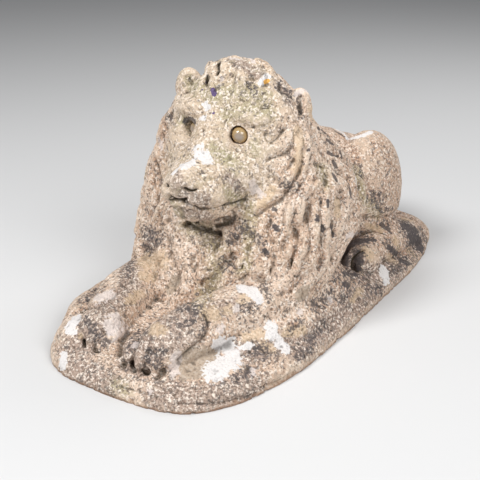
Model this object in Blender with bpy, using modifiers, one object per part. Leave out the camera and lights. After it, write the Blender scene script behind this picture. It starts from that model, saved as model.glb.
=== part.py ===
# Reclining garden lion carved with its low base from one block of stone, with two glass eyes.
# Metres, +Z up. The lion faces -Y, its left side is +X and the origin is the middle of the underside.

import math

import bmesh
import bpy
import numpy as np
from mathutils import Euler, Matrix, Vector

# Base
BASE_LENGTH = 0.800
BASE_WIDTH = 0.380
BASE_HEIGHT = 0.050
BASE_PLAN_POWER = 3.4      # 2 is an ellipse, more is squarer
BASE_EDGE_POWER = 2.7
BASE_FALL = 0.50           # share of its height that it loses from its middle to its rear end
BASE_STOCK = 0.008         # stone left below the floor line until the underside is sawn flat

# Figure: its proportions below are shares of this length
FIGURE_LENGTH = 0.800

# Eyes
EYE_DIAMETER = 0.023
SEAT_GAP = 0.0003                                # between the glass and the back of its socket
SOCKET_CLEARANCE = {"left": 0.0022, "right": 0.0028}   # round the glass
EYE_STAND = {"left": 0.0040, "right": -0.0050}   # how far the glass stands out of the stone
SOCKET_LENGTH = 0.040
# About where each eye's axis meets the face, as the left side has it
EYE_AIM = {"left": (0.050, -0.180, 0.357), "right": (0.057, -0.180, 0.351)}
# The way that each socket is drilled off its glass: to the side, up and outward
SOCKET_LEAN = {"left": (-0.60, 0.72, 0.35), "right": (0.0, 0.0, 1.0)}
EYE_TURN = 22              # degrees that an eye looks out to its side

# Fineness
VOXEL = 0.004
SMOOTHING_ROUNDS = 4
SMOOTHING_SHARE = 0.5
STONE_TRIANGLES = 9000
MANE_ROWS = 60
MANE_COLUMNS = 96
LIMB_STEPS = 24
LIMB_SIDES = 12
LOCK_STEPS = 22
LOCK_SIDES = 4
GROOVE_STEPS = 40
BALL_SEGMENTS = 20
MASS_SEGMENTS = 32
BASE_SEGMENTS = 96
BASE_RINGS = 32
CAP_ANGLES = (72, 54, 36, 18)   # degrees at which the round end of a bar has its rings
WELD = 1e-6                # closer than this, two points are one

# Finish: colour, roughness and how much light passes through
STONE_FINISH = ((0.42, 0.36, 0.29), 0.92, 0.0)
GLASS_FINISH = ((0.55, 0.36, 0.10), 0.08, 0.6)

SIDES = {"left": 1, "right": -1}

# Mane cross sections: height, half width, front, back and shift to the left, from base to crown
MANE = (
    (0.000, 0.172, -0.285, 0.010, 0.000),
    (0.050, 0.182, -0.280, 0.030, 0.000),
    (0.100, 0.195, -0.258, 0.080, 0.000),
    (0.163, 0.204, -0.228, 0.150, 0.000),
    (0.200, 0.202, -0.216, 0.165, 0.000),
    (0.250, 0.192, -0.200, 0.125, 0.000),
    (0.300, 0.164, -0.188, 0.050, 0.000),
    (0.345, 0.140, -0.182, 0.000, 0.000),
    (0.372, 0.126, -0.180, -0.018, 0.002),
    (0.400, 0.104, -0.174, -0.033, 0.006),
    (0.433, 0.066, -0.157, -0.050, 0.010),
    (0.456, 0.045, -0.142, -0.062, 0.010),
    (0.470, 0.018, -0.120, -0.084, 0.008),
)
MANE_POWER = 2.3
MANE_WIDEST = 0.45         # where, from front to back, a section is widest

# Families of locks, for one side. The first root and the step to the next, the first tip and the
# step to the next, each as angle from the front and height, the lift of every second tip, the bow
# and the wave in degrees, the number of waves, and the thickest radius
LOCKS = {
    "ruff": ((74, 0.425), (15, -0.015), (16, 0.165), (15, -0.030), 0.000, 20, 3.5, 2.5, 0.017),
    "upper_side": ((48, 0.300), (19, -0.012), (40, 0.135), (19, 0.000), -0.010, 0, 5, 1.0, 0.020),
    "lower_side": ((57, 0.185), (19, -0.012), (49, 0.045), (19, 0.000), -0.010, 0, 5, 1.0, 0.020),
    "nape": ((104, 0.445), (21, -0.010), (122, 0.225), (17, 0.000), -0.020, 0, 4, 1.5, 0.019),
    "chest": ((8, 0.205), (17, 0.000), (6, 0.060), (15, 0.012), 0.000, 0, 5, 1.0, 0.018),
    "forelock": ((20, 0.466), (48, 0.000), (14, 0.415), (24, 0.000), 0.000, 8, 0, 1.0, 0.013),
}
LOCK_COUNTS = {
    "ruff": 3,
    "upper_side": 5,
    "lower_side": 5,
    "nape": 4,
    "chest": 2,
    "forelock": 3,
}
LOCK_SUNK = 0.35           # share of its radius that a lock lies below the mane's skin
LOCK_THINNEST = 0.45       # share of its radius that a lock would have at nothing
LOCK_SWELL = (0.12, 0.88)  # part of a half wave that its thickness follows

# Round masses of each side: centre and three radii
SIDE_MASSES = {
    "haunch": ((0.112, 0.215, 0.145), (0.070, 0.108, 0.132)),
    "cheek": ((0.072, -0.130, 0.305), (0.056, 0.055, 0.085)),
    "brow": ((0.050, -0.150, 0.388), (0.050, 0.030, 0.022)),
    "lip_pad": ((0.027, -0.236, 0.271), (0.034, 0.034, 0.034)),
}
EARS = {
    "left": ((0.112, -0.080, 0.389), (0.023, 0.018, 0.040)),
    "right": ((-0.114, -0.088, 0.398), (0.029, 0.019, 0.041)),
}

# Tapered limbs of each side: stations of centre and radius
SIDE_LIMBS = {
    "hind_foot": (
        ((0.166, 0.350, 0.006), 0.040),
        ((0.170, 0.225, 0.050), 0.044),
        ((0.163, 0.098, 0.055), 0.035),
    ),
    "lip": (
        ((0.040, -0.160, 0.288), 0.054),
        ((0.022, -0.217, 0.280), 0.042),
        ((0.012, -0.266, 0.275), 0.030),
    ),
    "jaw": (
        ((0.046, -0.165, 0.246), 0.032),
        ((0.028, -0.218, 0.243), 0.027),
        ((0.008, -0.256, 0.243), 0.024),
    ),
}
FORELEGS = {
    "left": (
        ((0.158, -0.060, 0.055), 0.054),
        ((0.130, -0.190, 0.064), 0.056),
        ((0.080, -0.310, 0.066), 0.053),
        ((0.050, -0.402, 0.056), 0.047),
    ),
    "right": (
        ((-0.130, -0.060, 0.045), 0.050),
        ((-0.132, -0.190, 0.052), 0.052),
        ((-0.114, -0.310, 0.058), 0.050),
        ((-0.092, -0.390, 0.052), 0.042),
    ),
}

# Tapered limbs on the middle line
MIDDLE_LIMBS = {
    "trunk": (
        ((0.000, -0.060, 0.130), 0.145),
        ((0.000, 0.080, 0.140), 0.138),
        ((0.000, 0.200, 0.142), 0.132),
        ((0.000, 0.330, 0.110), 0.100),
        ((0.000, 0.400, 0.075), 0.065),
    ),
    "bridge": (
        ((0.000, -0.150, 0.345), 0.055),
        ((0.000, -0.214, 0.291), 0.042),
        ((0.000, -0.268, 0.288), 0.030),
    ),
}
NOSE = ((0.000, -0.286, 0.296), (0.024, 0.014, 0.015))
RUMP = ((0.000, 0.270, 0.115), (0.150, 0.150, 0.128))
TUFT = ((-0.047, -0.118, 0.444), (0.010, 0.013, 0.020))   # at the right of the crown

# The tail lies on the base along the lion's right haunch
TAIL = (
    ((0.000, 0.440, 0.038), 0.022),
    ((-0.090, 0.425, 0.034), 0.021),
    ((-0.165, 0.340, 0.042), 0.020),
    ((-0.203, 0.220, 0.048), 0.020),
    ((-0.208, 0.120, 0.056), 0.027),
)

# Raised rims of the base beside the forelegs
RIMS = {
    "left": (
        ((0.178, 0.030, 0.018), 0.036),
        ((0.176, -0.100, 0.028), 0.047),
        ((0.158, -0.220, 0.028), 0.050),
        ((0.128, -0.300, 0.022), 0.046),
    ),
    "right": (
        ((-0.182, -0.060, 0.010), 0.040),
        ((-0.182, -0.200, 0.015), 0.043),
        ((-0.170, -0.320, 0.022), 0.045),
        ((-0.130, -0.415, 0.018), 0.044),
    ),
}

# Toes: how many, their radii, and each paw's middle, turn in degrees and pitch between toes
TOES = 4
TOE_ARC = 0.35             # how fast the outer toes fall back
TOE_DROP = 0.15            # and how fast they lie lower
TOE_LEAN = 14
TOE_RADII = (0.0142, 0.027, 0.023)
PAWS = {
    "left": ((0.042, -0.436, 0.050), 22, 0.025),
    "right": ((-0.090, -0.420, 0.044), -10, 0.022),
}
HIND_TOES = (
    ((0.182, 0.062, 0.056), (0.012, 0.024, 0.022)),
    ((0.157, 0.066, 0.058), (0.012, 0.024, 0.022)),
)

# Grooves cut in the skin: half width, depth and the points that they run through, for one side
GROOVES = {
    "mouth": (
        0.0034,
        0.0060,
        (
            (0.000, -0.290, 0.260),
            (0.010, -0.276, 0.254),
            (0.020, -0.257, 0.245),
            (0.033, -0.242, 0.241),
            (0.050, -0.225, 0.246),
            (0.070, -0.194, 0.250),
        ),
    ),
    "nostril": (
        0.0030,
        0.0045,
        ((0.004, -0.280, 0.281), (0.016, -0.268, 0.279)),
    ),
    "thigh": (
        0.0060,
        0.0060,
        ((0.170, 0.120, 0.100), (0.176, 0.200, 0.095), (0.168, 0.290, 0.080)),
    ),
}


def smooth_path(stations, count):
    """Evenly numbered points on a Catmull-Rom curve through rows of numbers."""
    rows = np.array(stations, dtype=float)
    rows = np.vstack([2 * rows[0] - rows[1], rows, 2 * rows[-1] - rows[-2]])
    places = np.linspace(0, len(stations) - 1 - 1e-9, count)
    first = places.astype(int)
    step = (places - first)[:, None]
    a, b, c, d = rows[first], rows[first + 1], rows[first + 2], rows[first + 3]
    return 0.5 * (
        2 * b
        + (c - a) * step
        + (2 * a - 5 * b + 4 * c - d) * step**2
        + (3 * b - a - 3 * c + d) * step**3
    )


def ellipsoid(centre, radii, turn=(0, 0, 0)):
    """A round mass, in shares of the figure, as a closed mesh."""
    bm = bmesh.new()
    bmesh.ops.create_uvsphere(
        bm, u_segments=MASS_SEGMENTS, v_segments=MASS_SEGMENTS // 2, radius=1.0
    )
    place = Matrix.Translation(Vector(centre) * FIGURE_LENGTH)
    place @= Euler([math.radians(angle) for angle in turn]).to_matrix().to_4x4()
    place @= Matrix.Diagonal([radius * FIGURE_LENGTH for radius in radii] + [1])
    bmesh.ops.transform(bm, matrix=place, verts=bm.verts)
    mesh = bpy.data.meshes.new("mass")
    bm.to_mesh(mesh)
    bm.free()
    return mesh


def tube(points, radii, sides):
    """A round bar through points in metres, with rounded ends, as a closed mesh."""
    points = np.asarray(points, dtype=float)
    radii = np.asarray(radii, dtype=float)
    steps = np.sin(np.radians(CAP_ANGLES))
    caps = np.cos(np.radians(CAP_ANGLES))
    out = points[0] - points[1]
    out /= np.linalg.norm(out)
    on = points[-1] - points[-2]
    on /= np.linalg.norm(on)
    start = points[0] + radii[0] * steps[:, None] * out
    end = points[-1] + radii[-1] * steps[::-1, None] * on
    points = np.vstack([start, points, end])
    radii = np.concatenate([radii[0] * caps, radii, radii[-1] * caps[::-1]])
    curve = bpy.data.curves.new("bar", "CURVE")
    curve.dimensions = "3D"
    curve.bevel_depth = 1.0
    curve.bevel_resolution = sides
    curve.use_fill_caps = True
    spline = curve.splines.new("POLY")
    spline.points.add(len(points) - 1)
    spline.points.foreach_set("co", np.column_stack([points, np.ones(len(points))]).ravel())
    spline.points.foreach_set("radius", radii)
    return mesh_of(curve)


def mesh_of(data):
    """The evaluated mesh of a curve, with its caps joined to its sides."""
    holder = bpy.data.objects.new("holder", data)
    bpy.context.scene.collection.objects.link(holder)
    graph = bpy.context.evaluated_depsgraph_get()
    mesh = bpy.data.meshes.new_from_object(holder.evaluated_get(graph))
    bpy.data.objects.remove(holder)
    bm = bmesh.new()
    bm.from_mesh(mesh)
    bmesh.ops.remove_doubles(bm, verts=bm.verts, dist=WELD)
    bmesh.ops.recalc_face_normals(bm, faces=bm.faces)
    bm.to_mesh(mesh)
    bm.free()
    return mesh


def limb(stations):
    """A tapered limb through stations of centre and radius, in shares of the figure."""
    rows = smooth_path([(*centre, radius) for centre, radius in stations], LIMB_STEPS)
    rows *= FIGURE_LENGTH
    return tube(rows[:, :3], rows[:, 3], LIMB_SIDES)


def mirrored(centre, side):
    """A point of the lion's left side, or its twin on the right."""
    return (side * centre[0], centre[1], centre[2])


def mane_point(angle, height):
    """Point of the mane at an angle from its front, in degrees, and a height, both arrays."""
    rows = smooth_path(MANE, 2 * MANE_ROWS)
    width, front, back, shift = (np.interp(height, rows[:, 0], rows[:, k]) for k in range(1, 5))
    middle = front + (back - front) * MANE_WIDEST
    across = np.sin(np.radians(angle))
    along = -np.cos(np.radians(angle))
    power = 2 / MANE_POWER
    x = shift + width * np.sign(across) * np.abs(across) ** power
    reach = np.where(along < 0, middle - front, back - middle)
    y = middle + reach * np.sign(along) * np.abs(along) ** power
    return np.stack([x, y, height], axis=-1), np.stack([shift, middle, height], axis=-1)


def mane_mass():
    """The mane as a loft of unlike sections from the base to the crown."""
    heights = smooth_path(MANE, MANE_ROWS)[:, 0]
    angles = np.linspace(0, 360, MANE_COLUMNS, endpoint=False)
    grid, _ = mane_point(np.tile(angles, MANE_ROWS), np.repeat(heights, MANE_COLUMNS))
    bm = bmesh.new()
    corners = [bm.verts.new(point) for point in grid * FIGURE_LENGTH]
    rings = [corners[row * MANE_COLUMNS : (row + 1) * MANE_COLUMNS] for row in range(MANE_ROWS)]
    for low, high in zip(rings, rings[1:]):
        for column in range(MANE_COLUMNS):
            after = (column + 1) % MANE_COLUMNS
            bm.faces.new((low[column], low[after], high[after], high[column]))
    bm.faces.new(reversed(rings[0]))
    bm.faces.new(rings[-1])
    bmesh.ops.recalc_face_normals(bm, faces=bm.faces)
    mesh = bpy.data.meshes.new("mane")
    bm.to_mesh(mesh)
    bm.free()
    return mesh


def lock(start, end, bow, wave, waves, radius):
    """One lock lying in the mane from start to end, each an angle and a height.

    It bows sideways, waves about its line and tapers to a rounded tip.
    """
    step = np.linspace(0, 1, LOCK_STEPS)
    angle = start[0] + (end[0] - start[0]) * step
    angle += bow * np.sin(math.pi * step) + wave * np.sin(2 * math.pi * waves * step)
    height = start[1] + (end[1] - start[1]) * step
    skin, axis = mane_point(angle, height)
    swell = np.sin(math.pi * (LOCK_SWELL[0] + (LOCK_SWELL[1] - LOCK_SWELL[0]) * step))
    thick = radius * (LOCK_THINNEST + (1 - LOCK_THINNEST) * swell)
    outward = skin - axis
    outward /= np.linalg.norm(outward, axis=1)[:, None]
    centre = skin - outward * (LOCK_SUNK * thick)[:, None]
    return tube(centre * FIGURE_LENGTH, thick * FIGURE_LENGTH, LOCK_SIDES)


def mane_locks():
    """Every family of locks, on both sides."""
    locks = []
    for side in SIDES.values():
        for name, (root, root_step, tip, tip_step, lift, bow, wave, waves, radius) in LOCKS.items():
            for place in range(LOCK_COUNTS[name]):
                start_angle = root[0] + place * root_step[0]
                end_angle = tip[0] + place * tip_step[0]
                end_height = tip[1] + place * tip_step[1] + lift * (place % 2)
                locks.append(
                    lock(
                        (side * start_angle, root[1] + place * root_step[1]),
                        (side * end_angle, end_height),
                        side * bow,
                        side * wave,
                        waves,
                        radius,
                    )
                )
    return locks


def paw(centre, turn, pitch):
    """Toes side by side in a shallow arc in front of a paw."""
    toes = []
    turned = math.radians(turn)
    for toe in range(TOES):
        across = (toe - (TOES - 1) / 2) * pitch
        back = across * across / pitch * TOE_ARC
        place = (
            centre[0] + across * math.cos(turned) - back * math.sin(turned),
            centre[1] + across * math.sin(turned) + back * math.cos(turned),
            centre[2] - TOE_DROP * abs(across),
        )
        toes.append(ellipsoid(place, TOE_RADII, (TOE_LEAN, 0, turn)))
    return toes


def base_mass():
    """The base: a block with a rounded plan and edge, with a little stock below the floor line."""
    bm = bmesh.new()
    bmesh.ops.create_uvsphere(
        bm, u_segments=BASE_SEGMENTS, v_segments=BASE_RINGS, radius=1.0
    )
    for vert in bm.verts:
        x, y, z = vert.co
        reach = math.hypot(x, y)
        plan = 2 / BASE_PLAN_POWER
        edge = 2 / BASE_EDGE_POWER
        if reach > WELD:
            x = math.copysign(abs(x / reach) ** plan, x) * reach**edge
            y = math.copysign(abs(y / reach) ** plan, y) * reach**edge
        z = math.copysign(min(abs(z), 1) ** edge, z)
        depth = BASE_HEIGHT * (1 - BASE_FALL * max(y, 0)) if z > 0 else BASE_STOCK
        vert.co = (x * BASE_WIDTH / 2, y * BASE_LENGTH / 2, z * depth)
    mesh = bpy.data.meshes.new("base")
    bm.to_mesh(mesh)
    bm.free()
    return mesh


def masses():
    """Every overlapping mass of the carving, as closed meshes."""
    found = [base_mass(), mane_mass(), ellipsoid(*NOSE), ellipsoid(*RUMP), ellipsoid(*TUFT)]
    found.append(limb(TAIL))
    found += [limb(stations) for stations in MIDDLE_LIMBS.values()]
    for name, side in SIDES.items():
        for centre, radii in SIDE_MASSES.values():
            found.append(ellipsoid(mirrored(centre, side), radii))
        for stations in SIDE_LIMBS.values():
            found.append(limb([(mirrored(centre, side), radius) for centre, radius in stations]))
        for centre, radii in HIND_TOES:
            found.append(ellipsoid(mirrored(centre, side), radii))
        found.append(ellipsoid(*EARS[name]))
        found.append(limb(FORELEGS[name]))
        found.append(limb(RIMS[name]))
        found += paw(*PAWS[name])
    return found + mane_locks()


def fuse(name, meshes, voxel, rounds):
    """One closed skin around overlapping closed meshes, with soft joins."""
    bm = bmesh.new()
    for mesh in meshes:
        bm.from_mesh(mesh)
        bpy.data.meshes.remove(mesh)
    whole = bpy.data.meshes.new(name)
    bm.to_mesh(whole)
    bm.free()
    block = bpy.data.objects.new(name, whole)
    bpy.context.scene.collection.objects.link(block)
    skin = block.modifiers.new("Skin", "REMESH")
    skin.mode = "VOXEL"
    skin.voxel_size = voxel
    soften = block.modifiers.new("Soften", "SMOOTH")
    soften.factor = SMOOTHING_SHARE
    soften.iterations = rounds
    graph = bpy.context.evaluated_depsgraph_get()
    block.data = bpy.data.meshes.new_from_object(block.evaluated_get(graph))
    block.modifiers.clear()
    return block


def carve(block):
    """Sinks each groove into the skin, on the line nearest to its points, fading out sideways."""
    mesh = block.data
    count = len(mesh.vertices)
    points = np.empty(count * 3)
    normals = np.empty(count * 3)
    mesh.vertices.foreach_get("co", points)
    mesh.vertex_normals.foreach_get("vector", normals)
    points = points.reshape(-1, 3)
    normals = normals.reshape(-1, 3)
    sunk = np.zeros(count)
    for half_width, depth, stations in GROOVES.values():
        for side in SIDES.values():
            away = np.full(count, np.inf)
            for point in smooth_path([mirrored(point, side) for point in stations], GROOVE_STEPS):
                nearest = np.argmin(np.linalg.norm(points - point * FIGURE_LENGTH, axis=1))
                away = np.minimum(away, np.linalg.norm(points - points[nearest], axis=1))
            sunk = np.maximum(sunk, depth * np.exp(-((away / half_width) ** 2)))
    points -= normals * sunk[:, None]
    mesh.vertices.foreach_set("co", points.ravel())
    mesh.update()


def ball(radius):
    bm = bmesh.new()
    bmesh.ops.create_uvsphere(
        bm, u_segments=BALL_SEGMENTS, v_segments=BALL_SEGMENTS // 2, radius=radius
    )
    return bm


def object_of(bm, name, collection, finish):
    mesh = bpy.data.meshes.new(name)
    bm.to_mesh(mesh)
    bm.free()
    mesh.materials.append(finish)
    made = bpy.data.objects.new(name, mesh)
    collection.objects.link(made)
    return made


def cut(stone, cutter):
    """Takes the cutter's shape out of the stone."""
    cutter.hide_render = True
    cutter.display_type = "WIRE"
    step = stone.modifiers.new(cutter.name, "BOOLEAN")
    step.operation = "DIFFERENCE"
    step.solver = "EXACT"
    step.object = cutter


def set_eye(stone, name, parts, cutters, glass):
    """Drills one socket where the eye's axis meets the face, and seats a glass ball in it."""
    side = SIDES[name]
    turn = math.radians(EYE_TURN)
    axis = Vector((side * math.sin(turn), -math.cos(turn), 0))
    aim = Vector(mirrored(EYE_AIM[name], side)) * FIGURE_LENGTH
    _, face_point, _, _ = stone.ray_cast(aim + axis * FIGURE_LENGTH / 2, -axis)
    radius = EYE_DIAMETER / 2
    centre = face_point + axis * (EYE_STAND[name] - radius)
    look = axis.to_track_quat("Z", "Y")

    eye = object_of(ball(radius), name + "_eye", parts, glass)
    eye.location = centre
    eye.rotation_mode = "QUATERNION"
    eye.rotation_quaternion = look
    eye.data.shade_smooth()

    # The drill's round end is larger than the glass and touches it, but for the gap, at one place
    clearance = SOCKET_CLEARANCE[name]
    drill = ball(radius + clearance)
    for vert in drill.verts:
        if vert.co.z > WELD:
            vert.co.z += SOCKET_LENGTH
    socket = object_of(drill, name + "_socket_drill", cutters, glass)
    sideways, up, outward = SOCKET_LEAN[name]
    across = Vector((math.cos(turn), side * math.sin(turn), 0))
    lean = (across * sideways + Vector((0, 0, up)) + axis * outward).normalized()
    socket.location = centre + lean * (clearance - SEAT_GAP)
    socket.rotation_mode = "QUATERNION"
    socket.rotation_quaternion = look
    cut(stone, socket)


def saw_underside(stone, cutters, finish):
    """Cuts everything below the floor line away, so that the underside is flat."""
    bm = bmesh.new()
    bmesh.ops.create_cube(bm, size=1.0)
    slab = Matrix.Diagonal((2 * BASE_WIDTH, 2 * BASE_LENGTH, BASE_LENGTH, 1))
    bmesh.ops.transform(bm, matrix=slab, verts=bm.verts)
    saw = object_of(bm, "underside_saw", cutters, finish)
    saw.location.z = -BASE_LENGTH / 2
    cut(stone, saw)


def material(name, colour, roughness, transmission):
    made = bpy.data.materials.new(name)
    made.use_nodes = True
    shader = made.node_tree.nodes["Principled BSDF"]
    shader.inputs["Base Color"].default_value = (*colour, 1)
    shader.inputs["Roughness"].default_value = roughness
    shader.inputs["Metallic"].default_value = 0.0
    shader.inputs["Transmission Weight"].default_value = transmission
    return made


def collection(name):
    made = bpy.data.collections.new(name)
    bpy.context.scene.collection.children.link(made)
    return made


def main():
    for old in list(bpy.data.objects):
        bpy.data.objects.remove(old)
    parts = collection("stone_lion")
    cutters = collection("cutters")
    weathered = material("weathered_stone", *STONE_FINISH)
    amber = material("amber_glass", *GLASS_FINISH)

    stone = fuse("stone_lion", masses(), VOXEL, SMOOTHING_ROUNDS)
    bpy.context.scene.collection.objects.unlink(stone)
    parts.objects.link(stone)
    stone.data.materials.append(weathered)
    carve(stone)
    thin = stone.modifiers.new("Facets", "DECIMATE")
    thin.ratio = STONE_TRIANGLES / (2 * len(stone.data.polygons))
    saw_underside(stone, cutters, weathered)
    bpy.context.view_layer.update()
    for name in SIDES:
        set_eye(stone, name, parts, cutters, amber)
    bpy.context.view_layer.update()


main()
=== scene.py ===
# Weathered stone garden lion with glass eyes: the carved stone, the eyes, and the plain stage they stand on.
# Metres, +Z up. The lion faces -Y and its left side is +X. Its proportions are shares of its length.
import math

import bpy
import numpy as np
from mathutils import Matrix, Vector


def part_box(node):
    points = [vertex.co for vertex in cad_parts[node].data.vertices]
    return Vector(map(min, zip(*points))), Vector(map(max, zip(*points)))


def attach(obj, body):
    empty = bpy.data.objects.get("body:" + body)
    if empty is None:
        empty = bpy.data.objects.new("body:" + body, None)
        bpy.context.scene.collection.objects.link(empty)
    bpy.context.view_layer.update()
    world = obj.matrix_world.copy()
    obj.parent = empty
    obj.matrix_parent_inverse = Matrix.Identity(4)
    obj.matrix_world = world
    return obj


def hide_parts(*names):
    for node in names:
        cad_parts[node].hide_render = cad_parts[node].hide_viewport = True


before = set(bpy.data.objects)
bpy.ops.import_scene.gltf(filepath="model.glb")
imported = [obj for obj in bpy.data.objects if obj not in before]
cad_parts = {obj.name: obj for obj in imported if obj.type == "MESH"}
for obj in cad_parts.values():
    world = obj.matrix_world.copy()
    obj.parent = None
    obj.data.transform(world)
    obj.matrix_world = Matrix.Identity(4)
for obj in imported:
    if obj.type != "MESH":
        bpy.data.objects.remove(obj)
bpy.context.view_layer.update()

sides = {"left": 1, "right": -1}

camera = {
    "azimuth": 31.9,  # degrees round from the lion's front towards its left
    "elevation": 23.18,
    "distance": 1.472,
    "target": (-0.048, 0.0, 0.0608),
    "lens": 68.0,
    "sensor": 36.0,
    "picture": 480,  # pixels across the photograph that the traced lines below are given in
    "traceStep": 2.5,  # pixels between the points of a traced line
}

base = {
    "length": 0.800,
    "width": 0.380,
    "height": 0.050,
    "planPower": 3.4,  # 2 is an ellipse, more is squarer
    "edgePower": 2.7,
    "fall": 0.50,  # share of its height that it loses from its middle to its rear end
    "stock": 0.008,  # below the floor line, until the underside is flattened
}

# Mane sections: height, half width, front, back and shift to the left side
mane = {
    "sections": (
        (0.000, 0.165, -0.285, -0.020, 0.000), (0.050, 0.174, -0.280, -0.010, 0.000),
        (0.100, 0.184, -0.258, 0.020, 0.000), (0.163, 0.200, -0.228, 0.105, 0.000),
        (0.200, 0.201, -0.216, 0.150, 0.000), (0.250, 0.192, -0.200, 0.122, 0.000),
        (0.300, 0.164, -0.188, 0.050, 0.000), (0.345, 0.140, -0.182, 0.000, 0.000),
        (0.372, 0.126, -0.180, -0.018, 0.002), (0.400, 0.104, -0.174, -0.033, 0.006),
        (0.433, 0.066, -0.157, -0.050, 0.010), (0.456, 0.045, -0.142, -0.062, 0.010),
        (0.470, 0.018, -0.120, -0.084, 0.008),
    ),
    "power": 2.3,
    "widest": 0.45,  # where, from front to back, a section is widest
    "between": 120,  # sections worked out between those above
}

lion = {
    "length": 0.800,
    "voxel": 0.0024,  # metres, the grain at which the masses are fused
    "softening": (0.5, 7),  # factor and rounds
    "limbGrid": (28, 36),  # rings along a limb and points round it
    "lockColumns": 16,  # points round a lock
    "triangles": 194000,
    # Round masses: centre, radii
    "middle": (
        ((0.000, -0.286, 0.296), (0.024, 0.014, 0.015)),
        ((0.000, 0.270, 0.115), (0.150, 0.150, 0.128)),
        ((-0.047, -0.118, 0.444), (0.010, 0.013, 0.020)),
    ),
    "paired": (
        ((0.112, 0.215, 0.145), (0.070, 0.108, 0.132)),
        ((0.072, -0.130, 0.305), (0.056, 0.055, 0.085)),
        ((0.050, -0.150, 0.388), (0.050, 0.030, 0.022)),
        ((0.027, -0.236, 0.271), (0.034, 0.034, 0.034)),
        ((0.174, 0.084, 0.057), (0.033, 0.037, 0.035)),
        ((0.185, 0.064, 0.050), (0.013, 0.026, 0.024)),
        ((0.161, 0.060, 0.056), (0.013, 0.026, 0.024)),
    ),
    "ears": (
        ((0.112, -0.080, 0.389), (0.023, 0.018, 0.040)),
        ((-0.114, -0.088, 0.398), (0.029, 0.019, 0.041)),
    ),
    # Tapered limbs: stations of centre and radius
    "middleLimbs": (
        (((0.000, -0.060, 0.130), 0.145), ((0.000, 0.080, 0.140), 0.138), ((0.000, 0.200, 0.142), 0.132),
         ((0.000, 0.330, 0.110), 0.100), ((0.000, 0.400, 0.075), 0.065)),
        (((0.000, -0.150, 0.345), 0.055), ((0.000, -0.214, 0.291), 0.042), ((0.000, -0.268, 0.288), 0.030)),
        (((0.000, 0.440, 0.038), 0.022), ((-0.090, 0.425, 0.034), 0.021), ((-0.165, 0.340, 0.042), 0.020),
         ((-0.203, 0.220, 0.048), 0.020), ((-0.208, 0.120, 0.056), 0.027)),
    ),
    "pairedLimbs": (
        (((0.166, 0.350, 0.006), 0.040), ((0.170, 0.225, 0.050), 0.044), ((0.163, 0.098, 0.055), 0.035)),
        (((0.040, -0.160, 0.288), 0.054), ((0.022, -0.217, 0.280), 0.042), ((0.012, -0.266, 0.275), 0.030)),
        (((0.046, -0.165, 0.246), 0.032), ((0.028, -0.218, 0.243), 0.027), ((0.008, -0.256, 0.243), 0.024)),
    ),
    "forelegs": (
        (((0.158, -0.060, 0.055), 0.054), ((0.130, -0.190, 0.064), 0.056), ((0.080, -0.310, 0.066), 0.053),
         ((0.050, -0.402, 0.056), 0.047)),
        (((-0.130, -0.060, 0.045), 0.050), ((-0.132, -0.190, 0.052), 0.052), ((-0.114, -0.310, 0.058), 0.050),
         ((-0.092, -0.390, 0.052), 0.042)),
    ),
    "rims": (
        (((0.178, 0.030, 0.018), 0.036), ((0.176, -0.100, 0.028), 0.047), ((0.158, -0.220, 0.028), 0.050),
         ((0.128, -0.300, 0.022), 0.046)),
        (((-0.182, -0.060, 0.010), 0.040), ((-0.182, -0.200, 0.015), 0.043), ((-0.170, -0.320, 0.022), 0.045),
         ((-0.130, -0.415, 0.018), 0.044)),
    ),
    # Paws: middle of the toes, turn in degrees, pitch between toes
    "toes": 4,
    "toeRadii": (0.0142, 0.027, 0.023),
    "toeTilt": 14,  # degrees
    "toeBack": 0.35,  # how fast toes fall back from the middle of the paw
    "toeDrop": 0.15,  # and how fast they come lower
    "paws": (((0.042, -0.436, 0.050), 22, 0.025), ((-0.090, -0.420, 0.044), -10, 0.022)),
}

# Lock families, one entry for each: start angle and height, end angle and height, bow, wave, waves, radius.
# Angles go round from the front in degrees, for the left side.
lockFamilies = {
    "ruff": [((74 + 15 * k, 0.425 - 0.015 * k), (16 + 15 * k, 0.165 - 0.030 * k), 20, 3.5, 2.5, 0.017)
             for k in range(3)],
    "upperSide": [((48 + 19 * k, 0.300 - 0.012 * k), (40 + 19 * k, 0.135 - 0.010 * (k % 2)), 0, 5, 1.0, 0.020)
                  for k in range(5)],
    "lowerSide": [((57 + 19 * k, 0.185 - 0.012 * k), (49 + 19 * k, 0.045 - 0.010 * (k % 2)), 0, 5, 1.0, 0.020)
                  for k in range(5)],
    "nape": [((104 + 21 * k, 0.445 - 0.010 * k), (122 + 17 * k, 0.225 - 0.020 * (k % 2)), 0, 4, 1.5, 0.019)
             for k in range(4)],
    "chest": [((8 + 17 * k, 0.205), (6 + 15 * k, 0.060 + 0.012 * k), 0, 5, 1.0, 0.018) for k in range(2)],
    "forelock": [((20 + 48 * k, 0.466), (14 + 24 * k, 0.415), 8, 0, 1.0, 0.013) for k in range(3)],
}

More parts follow.
